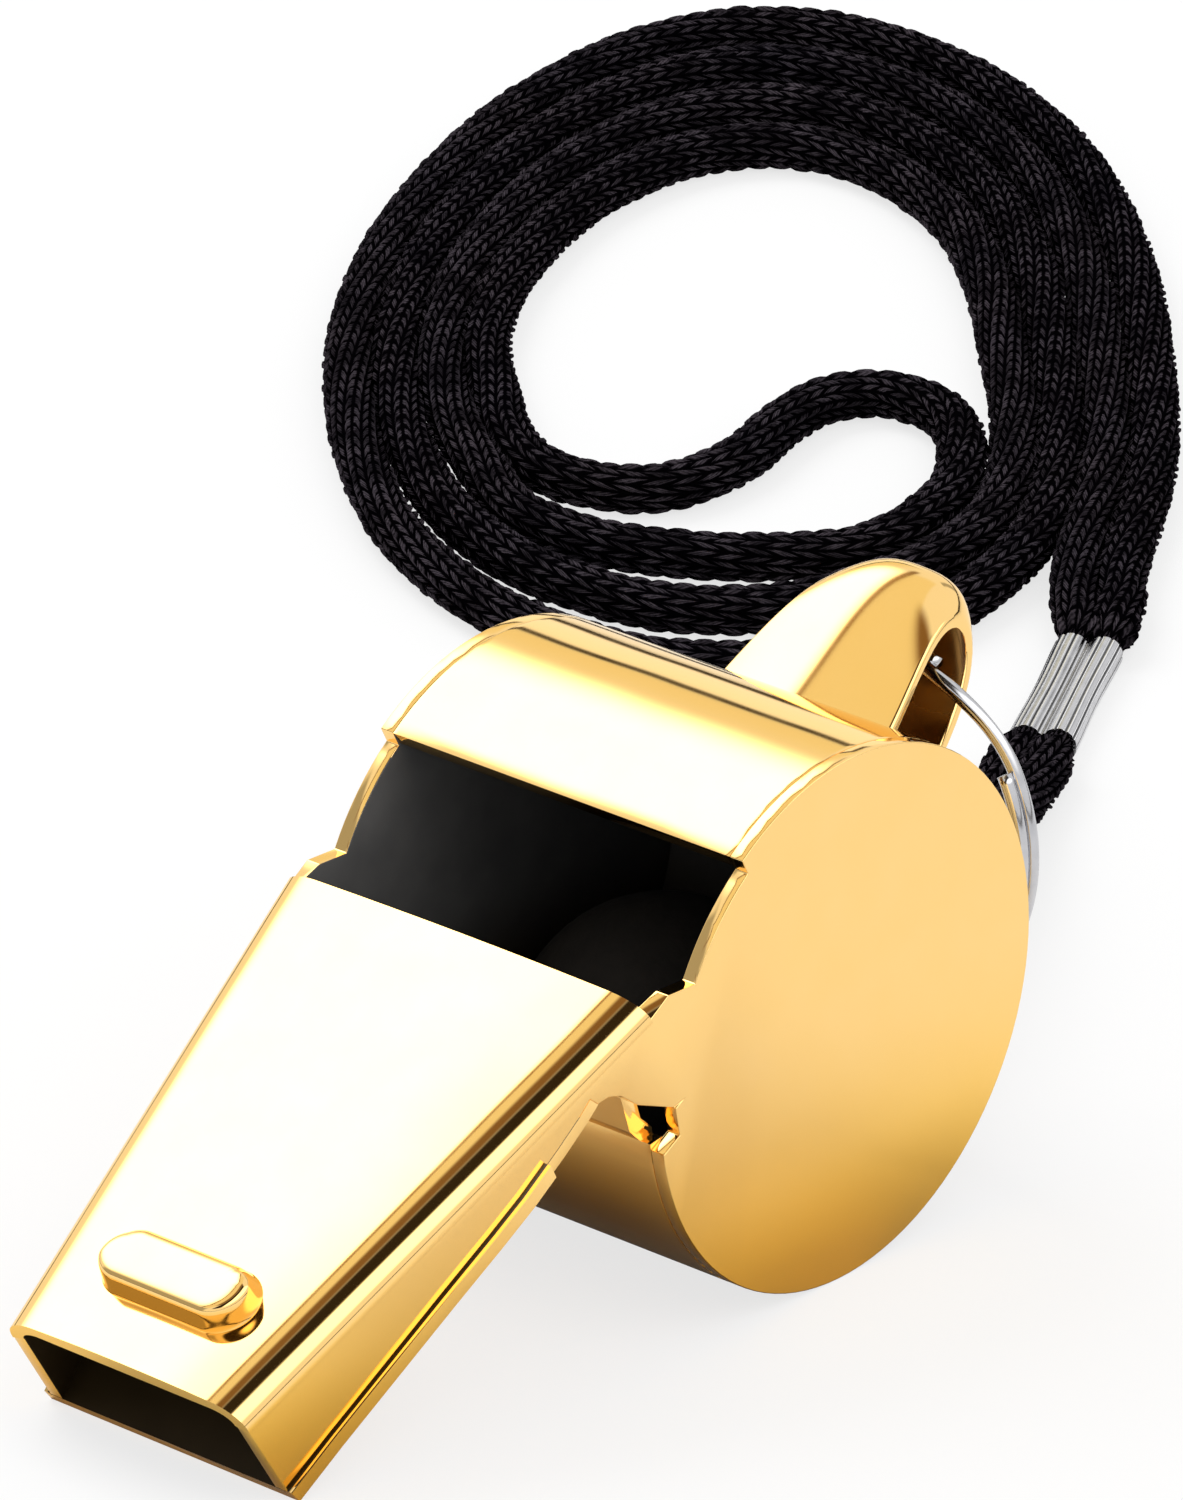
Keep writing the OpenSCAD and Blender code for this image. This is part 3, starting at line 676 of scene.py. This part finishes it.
# How far its rolled sides stand out from the side plates, and lap over them
FOLD_PROUD = 0.012
FOLD_LAP = 0.2
LAP_GAP = 0.002
# How far down each roll comes and how far in it starts, at the rear and the front
FOLD_REAR = 0.9
FOLD_FRONT = 1.05
ROLL_REAR = 1.9
ROLL_FRONT = 1.7
# How far each side plate's outer edge is beaten down to make room for the roll
SHOULDER = 0.3
EAR_WAY = math.radians(84.5)
axis_x = sum(corner[0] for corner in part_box("pea")) / 2


def placed(f, y, u):
    return Vector((axis_x - (f * math.cos(LEAN) + u * math.sin(LEAN)) * MM, y * MM,
                   (BARREL_RADIUS - f * math.sin(LEAN) + u * math.cos(LEAN)) * MM))


def levelled(point):
    x, z = (axis_x - point.x) / MM, point.z / MM - BARREL_RADIUS
    return Vector((x * math.cos(LEAN) - z * math.sin(LEAN), point.y / MM,
                   x * math.sin(LEAN) + z * math.cos(LEAN)))


def along_neck(f, rear, front):
    return rear + (front - rear) * (f - NECK) / (REACH - NECK)


def half_width(f):
    return along_neck(f, BARREL_WIDTH / 2, MOUTH_WIDTH / 2)


def ease_edges(piece, radius, angle=28):
    """Rounds a piece's sharp edges and keeps its flats flat."""
    bevel = piece.modifiers.new("eased", "BEVEL")
    bevel.width = radius * MM
    bevel.segments = 3
    bevel.limit_method = "ANGLE"
    bevel.angle_limit = math.radians(angle)
    bevel.harden_normals = True


# Height of the middle of the neck's hollow, at the rear and the front, and
# how squarely a face must look toward a hollow to be given the dull inside with painted shade
NECK_CORE = (8.5, 6.8)
LOOKS_IN = 0.45


def core_of(place):
    """The middle of the hollow that a place on the sheet belongs to, level."""
    f, y, u = place
    if f > BARREL_RADIUS and u > 0:
        return Vector((f, 0, along_neck(f, *NECK_CORE)))
    return Vector((0, y, 0)) if abs(y) < BARREL_WIDTH / 2 - SIDE - 0.05 else Vector((0, 0, 0))


def shade_inside_faces(mesh):
    """Gives the faces that look into a hollow the dull inside with painted shade, and the dark seam on
    each flange's step the same material.
    """
    for face in mesh.polygons:
        place = levelled(face.center)
        core = core_of(place) - place
        normal = levelled(face.center + face.normal * MM) - place
        if normal.dot(core) > LOOKS_IN * core.length or on_flange_step(place, normal):
            face.material_index = 1


def on_flange_step(place, normal):
    """The dark seam on a flange's upward step, along the side plate."""
    f, y, u = place
    beside = abs(y) - half_width(f)
    return 0.02 < beside < FLANGE_SEAM and f > BARREL_RADIUS and u < 8 and normal.z > 0.5


EDGE_RADIUS = {"cheek_near": 0.05, "cheek_far": 0.05, "floor_plate": 0.06, "barrel_band": 0.08}
# Places across the band where its long faces are cut, so that they stay straight
BAND_CUTS = (-8.2, -5, 0, 5, 8.2)
# Width of the dark seam between a flange and the side plate
FLANGE_SEAM = 0.09


def seam_planes(node):
    """For a part that is cut across: a point and a direction of each plane."""
    if node == "barrel_band":
        return [(Vector((0, y, 0)) * MM, Vector((0, 1, 0))) for y in BAND_CUTS]
    if node == "floor_plate":
        slope = (BARREL_WIDTH - MOUTH_WIDTH) / 2 / (REACH - NECK)
        return [(placed(NECK, side * (BARREL_WIDTH / 2 + FLANGE_SEAM), 0),
                 placed(slope, side, 0) - placed(0, 0, 0)) for side in (-1, 1)]
    return []


def beat_shoulder(mesh):
    """Lowers the outer edge of a side plate under the top plate's roll."""
    for vert in mesh.verts:
        f, y, u = levelled(vert.co)
        outside = abs(y) > half_width(f) - 0.1
        if outside and f > NECK - 0.1 and u > along_neck(f, TOP_REAR, TOP_FRONT) - 0.9:
            vert.co = placed(f, y, u - SHOULDER)


def eased_part(node, radius):
    """A CAD solid with its flats joined, its sharp edges rounded and its inside dull, with painted shade.
    """
    mesh = bmesh.new()
    mesh.from_mesh(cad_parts[node].data)
    bmesh.ops.remove_doubles(mesh, verts=mesh.verts, dist=0.001 * MM)
    bmesh.ops.dissolve_limit(mesh, angle_limit=math.radians(0.5), verts=mesh.verts, edges=mesh.edges)
    if node.startswith("cheek"):
        beat_shoulder(mesh)
    for point, direction in seam_planes(node):
        bmesh.ops.bisect_plane(mesh, geom=mesh.verts[:] + mesh.edges[:] + mesh.faces[:],
                               plane_co=point, plane_no=direction.normalized())
    data = bpy.data.meshes.new(node + "_sheet")
    mesh.to_mesh(data)
    mesh.free()
    data.polygons.foreach_set("use_smooth", [True] * len(data.polygons))
    data.materials.clear()
    data.materials.append(GOLD)
    data.materials.append(DULL_SHADED_INSIDE)
    shade_inside_faces(data)
    piece = bpy.data.objects.new(node + "_sheet", data)
    bpy.context.scene.collection.objects.link(piece)
    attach(piece, "whistle")
    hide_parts(node)
    ease_edges(piece, radius)


def top_section(f):
    """Half of the top plate's outline at one place, from the middle out: its outer and inner line."""
    half = half_width(f)
    top = along_neck(f, TOP_REAR, TOP_FRONT)
    roll = along_neck(f, ROLL_REAR, ROLL_FRONT)
    fold = along_neck(f, FOLD_REAR, FOLD_FRONT)
    flat = [(half - roll) * share for share in (0, 0.25, 0.5, 0.75)]
    sag = [PLATE_CROWN * (y / (half - roll)) ** 2 for y in flat]
    bends = [math.radians(90 * i / 10) for i in range(11)]
    outer = [(y, top + PLATE_CROWN - low) for y, low in zip(flat, sag)]
    outer += [(half - roll + (roll + FOLD_PROUD) * math.sin(a), top - fold + fold * math.cos(a))
              for a in bends]
    outer += [(half + FOLD_PROUD, top - fold - FOLD_LAP / 2), (half + LAP_GAP, top - fold - FOLD_LAP)]
    inner = [(y, top - TOP_SHEET) for y in flat]
    inner += [(half - roll + (roll - SIDE) * math.sin(a), top - fold + (fold - TOP_SHEET) * math.cos(a))
              for a in bends]
    # The outer line's two points of the lap have one place opposite them here
    inner += [(half - SIDE + 0.01, top - fold)] * 2
    return outer, inner


def top_plate():
    """The top plate, its sides rolled down over the side plates."""
    count = 12
    points, faces = [], []
    for i in range(count + 1):
        f = NECK + (REACH + FOLD_PROUD - NECK) * i / count
        outer, inner = top_section(f)
        ring = [(-y, u) for y, u in outer[:0:-1]] + outer + inner[::-1] + [(-y, u) for y, u in inner[1:]]
        points += [placed(f, y, u) for y, u in ring]
    n = len(points) // (count + 1)
    for i in range(count):
        for k in range(n):
            a, b = i * n + k, i * n + (k + 1) % n
            faces.append((a, b, b + n, a + n))
    half_ring = n // 2
    for k in range(half_ring - 1):
        a, b, c, d = k, k + 1, n - 2 - k, n - 1 - k
        faces.append((d, c, b, a))
        faces.append(tuple(count * n + j for j in (a, b, c, d)))
    plate = add_piece("top_plate_sheet", points, faces, GOLD, "whistle", ["top_plate"])
    plate.data.materials.append(DULL_SHADED_INSIDE)
    shade_inside_faces(plate.data)
    ease_edges(plate, 0.06, 50)


BEAD_PLACE = 4
BEAD_LENGTH = 7.2
BEAD_THICK = 3
# The bead's slope in front and behind, as run inward from its border and height, in mm
BEAD_FRONT = ((-0.05, -0.1), (0.02, 0.1), (0.08, 0.55), (0.14, 0.86),
              (0.24, 1.0), (0.42, 1.07), (0.9, 1.1), (1.5, 1.1))
BEAD_REAR = ((-0.05, -0.1), (0.06, 0.05), (0.16, 0.3), (0.3, 0.62),
             (0.48, 0.86), (0.72, 1.0), (1.05, 1.07), (1.5, 1.1))
# How steep the bead is at its sides, and how much more toward its front and its right end
SIDE_STEEP = 0.6
FRONT_STEEP = 0.9
END_STEEP = 0.7


def tooth_bead():
    """A pressed bead with a steep front, a broad crest, a sloping back and round ends."""
    sides = 72
    slope = (TOP_REAR - TOP_FRONT) / (REACH - NECK)
    f0 = REACH - BEAD_PLACE
    base = along_neck(f0, TOP_REAR, TOP_FRONT) + PLATE_CROWN
    front, rear = (smooth_line([Vector(p) for p in line], 3) for line in (BEAD_FRONT, BEAD_REAR))
    points = []
    for steep, gentle in zip(front, rear):
        for i in range(sides):
            turn = 2 * math.pi * (i + 0.5) / sides
            steepness = SIDE_STEEP + FRONT_STEEP * math.cos(turn) - END_STEEP * min(math.sin(turn), 0)
            share = min(max(steepness, 0), 1)
            run, height = gentle.lerp(steep, share)
            reach = max(BEAD_THICK / 2 - run, 0.001)
            end = (BEAD_LENGTH - BEAD_THICK) / 2 * (1 if math.sin(turn) > 0 else -1)
            f = f0 + reach * math.cos(turn)
            points.append(placed(f, end + reach * math.sin(turn), base - slope * (f - f0) + height))
    bead = add_piece("bead_ridge", points, tube_faces(len(front), sides), GOLD, "whistle",
                     ["tooth_bead"])


# The rear ear: a strip of sheet bent into a loop, in mm and degrees
EAR_FOOT = BARREL_RADIUS - 0.55
EAR_REACH = 7.8
EAR_PROUD = 0.3
EAR_SPAN = 4.4
EAR_FOOT_WIDTH = 8.6
EAR_END_WIDTH = 5.6
EAR_SHEET = 0.5
EAR_CROWN = 0.19
EAR_POWER = 0.42
# How quickly the upper side's dome sets in round the loop
EAR_UPPER = 1.8
EAR_STEPS = 56
EAR_ACROSS = 24


def ear_drop(y):
    """How far the ear's domed upper side lies below its ridge."""
    if y > -0.3:
        return 0.039 * (y - 1) ** 2
    return 0.066 + 0.102 * (-0.3 - y) + 0.007 * (-0.3 - y) ** 2


def ear_place(turn, share, shrink):
    """A place on the ear, by its turn round the loop, share of the half width, and depth in the sheet."""
    s, c = math.sin(math.radians(turn)), math.cos(math.radians(turn))
    y = share * (EAR_FOOT_WIDTH + (EAR_END_WIDTH - EAR_FOOT_WIDTH) * math.sqrt(s)) / 2
    out = EAR_FOOT + (EAR_REACH + EAR_PROUD + BARREL_RADIUS - EAR_FOOT - shrink) * (
        1 - EAR_CROWN * abs(share) ** 3) * s ** EAR_POWER
    aside = (EAR_SPAN / 2 - shrink) * c + (EAR_PROUD - ear_drop(y)) * soft_step(c * EAR_UPPER)
    return placed(-out * math.sin(EAR_WAY) + aside * math.cos(EAR_WAY), y,
                  out * math.cos(EAR_WAY) + aside * math.sin(EAR_WAY))


def domed_ear():
    """The ear, its upper side domed, with a rounded rim at both openings."""
    n, m = EAR_ACROSS + 1, EAR_STEPS + 1
    turns = [90 - 90 * math.cos(math.pi * i / EAR_STEPS) for i in range(m)]
    points = [ear_place(turn, 2 * j / EAR_ACROSS - 1, shrink)
              for shrink in (0, EAR_SHEET) for turn in turns for j in range(n)]
    faces = []
    for i in range(EAR_STEPS):
        for j in range(EAR_ACROSS):
            a, b = i * n + j, (i + 1) * n + j
            faces.append((a, a + 1, b + 1, b))
            faces.append((m * n + b, m * n + b + 1, m * n + a + 1, m * n + a))
        for a, b in ((i * n, (i + 1) * n), ((i + 1) * n + n - 1, i * n + n - 1)):
            faces.append((a, b, m * n + b, m * n + a))
    for j in range(EAR_ACROSS):
        a = EAR_STEPS * n + j
        faces.append((j + 1, j, m * n + j, m * n + j + 1))
        faces.append((a, a + 1, m * n + a + 1, m * n + a))
    ear = add_piece("ear_loop", points, faces, GOLD, "whistle", ["lanyard_ear"])
    ear.data.materials.append(EAR_INSIDE)
    for face in ear.data.polygons:
        face.material_index = all(i >= m * n for i in face.vertices)
    ease_edges(ear, 0.16, 40)


for node, radius in EDGE_RADIUS.items():
    eased_part(node, radius)
top_plate()
tooth_bead()
domed_ear()
crimped_ferrule()

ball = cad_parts["pea"]
ball.data.materials.clear()
ball.data.materials.append(CORK)

# Floor, background and lamps


FLOOR_REACH = 3.0


def pale_floor():
    paint = new_material("pale_floor")
    seen = paint.add("LightPath", out="Is Camera Ray")
    skin = paint.add("BsdfDiffuse", {}, {"Color": (0.9, 0.9, 0.9, 1)})
    glow = paint.add("Emission", {}, {"Color": (1, 1, 1, 1), "Strength": 1.0})
    both = paint.add("MixShader", {}, {0: 0.75 * seen, 1: skin, 2: glow})
    paint.add("OutputMaterial", {}, {"Surface": both})
    corners = [(x * FLOOR_REACH, y * FLOOR_REACH, 0) for x, y in ((-1, -1), (1, -1), (1, 1), (-1, 1))]
    floor = add_piece("floor", corners, [(0, 1, 2, 3)], paint.owner, None, smooth=False)


# What polished metal sees of the studio: a soft box behind and above, a
# ceiling that darkens toward the front, a warm back wall above a cream one,
# a bright panel low in front, and a dark line at the foot of the walls
BOX_WAY = Vector((0.13, 0.5875, 0.8)).normalized()
BOX_LIGHT = 2.9
BOX_CORE = 12
BOX_BORDER = 34
PANEL_LIGHT = 1.2
CREAM_LIGHT = 0.15
WARM = (0.95, 0.88, 0.64, 1)
BROWN = (0.24, 0.14, 0.06, 1)
DIM = (0.43, 0.43, 0.42, 1)
SHADE = (0.03, 0.022, 0.014, 1)
# Zones of the studio: two borders, as the part of a direction that points to
# the back or up, and how soft they are
BACK_ZONE = (0.52, 0.76, 0.04)
WALL_LINE_ZONE = (0.305, 0.35, 0.01)
WARM_ZONE = (0.24, 0.47, 0.02)
SEAM_ZONE = (0.455, 0.485, 0.008)
BROWN_ZONE = (0.05, 0.27, 0.05)
FRONT_ZONE = (-0.36, 0.05, 0.05)
PANEL_ZONE = (0.46, 0.94, 0.10)
CREAM_ZONE = (0.06, 0.30, 0.02)
SIDE_ZONE = (0.06, 0.62, 0.04)
POST_BREADTH = (0.16, 0.25, 0.02)
POST_HEIGHT = (0.03, 0.5, 0.02)
FOOT_ZONE = (-0.025, 0.055, 0.015)


def studio_world():
    world = bpy.data.worlds.new("studio")
    bpy.context.scene.world = world
    sky = Finish(world)
    way = sky.add("TexCoord", out="Generated")
    x, y, z = sky.parts(way)
    toward_box = sky.add("VectorMath", {"operation": "DOT_PRODUCT"}, {0: way, 1: BOX_WAY}, out=1)
    box = sky.between(toward_box, math.cos(math.radians(BOX_BORDER)), math.cos(math.radians(BOX_CORE)))
    box = box * sky.between(y, 0.44, 0.56)
    row = sky.band(y, *BACK_ZONE) * sky.between(x, -0.2, 0.0)
    wall = row * sky.between(z, 0.35, 0.36) * (1 - sky.between(z, 0.40, 0.64))
    wall_line = row * sky.band(z, *WALL_LINE_ZONE)
    warm_ceiling = sky.band(y, *WARM_ZONE) * sky.between(z, 0.6, 0.7)
    seam = sky.band(y, *SEAM_ZONE) * sky.between(z, 0.5, 0.6)
    ahead = 1 - sky.between(x, 0.12, 0.3)
    brown_ceiling = sky.band(y, *BROWN_ZONE) * sky.between(z, 0.78, 0.84) * ahead
    front_ceiling = sky.band(y, *FRONT_ZONE) * sky.between(z, 0.44, 0.50) * ahead
    panel = (1 - sky.between(y, -0.42, -0.34)) * sky.band(z, *PANEL_ZONE)
    cream_wall = row * sky.band(z, *CREAM_ZONE)
    dim_side = (1 - sky.between(x, -0.50, -0.35)) * sky.between(y, 0.2, 0.35) * sky.band(z, *SIDE_ZONE)
    posts = sky.band(y, *POST_BREADTH) * sky.between(x, 0.5, 0.6) * sky.band(z, *POST_HEIGHT)
    foot = sky.band(z, *FOOT_ZONE)
    seen = sky.blend(wall, (1, 1, 1, 1), WARM)
    for share, colour in ((warm_ceiling, WARM), (brown_ceiling, BROWN), (front_ceiling, SHADE),
                          (dim_side, DIM), (seam, BROWN), (posts, DIM), (wall_line, SHADE),
                          (foot, SHADE)):
        seen = sky.blend(share, seen, colour)
    strength = 1 + BOX_LIGHT * box + PANEL_LIGHT * panel + CREAM_LIGHT * cream_wall
    glossy = sky.add("Background", {}, {"Color": seen, "Strength": strength})
    camera_ray, glossy_ray, clear_ray = (
        sky.add("LightPath", out="Is " + name + " Ray") for name in ("Camera", "Glossy", "Transmission"))
    plain = sky.add("Background", {}, {"Color": (1, 1, 1, 1), "Strength": 0.7 + 0.3 * camera_ray})
    mirrored = sky.add("Math", {"operation": "MINIMUM"}, {0: glossy_ray + clear_ray, 1: 1.0})
    lit = sky.add("MixShader", {}, {0: mirrored, 1: plain, 2: glossy})
    sky.add("OutputWorld", {}, {"Surface": lit})


def soft_lamp(name, place, target, size, power):
    data = bpy.data.lights.new(name, "AREA")
    data.shape = "RECTANGLE"
    data.size, data.size_y = size
    data.energy = power
    lamp = bpy.data.objects.new(name, data)
    lamp.location = place
    lamp.rotation_euler = (Vector(place) - Vector(target)).to_track_quat("Z", "Y").to_euler()
    lamp.visible_glossy = False
    bpy.context.scene.collection.objects.link(lamp)


pale_floor()
studio_world()
soft_lamp("top_lamp", (0.02, 0.45, 0.62), (0, 0, 0.01), (0.5, 0.5), 2.4)
soft_lamp("front_lamp", (-0.1, -0.5, 0.6), (0, 0, 0.01), (0.6, 0.6), 1.6)

bpy.context.scene.view_settings.view_transform = "Standard"
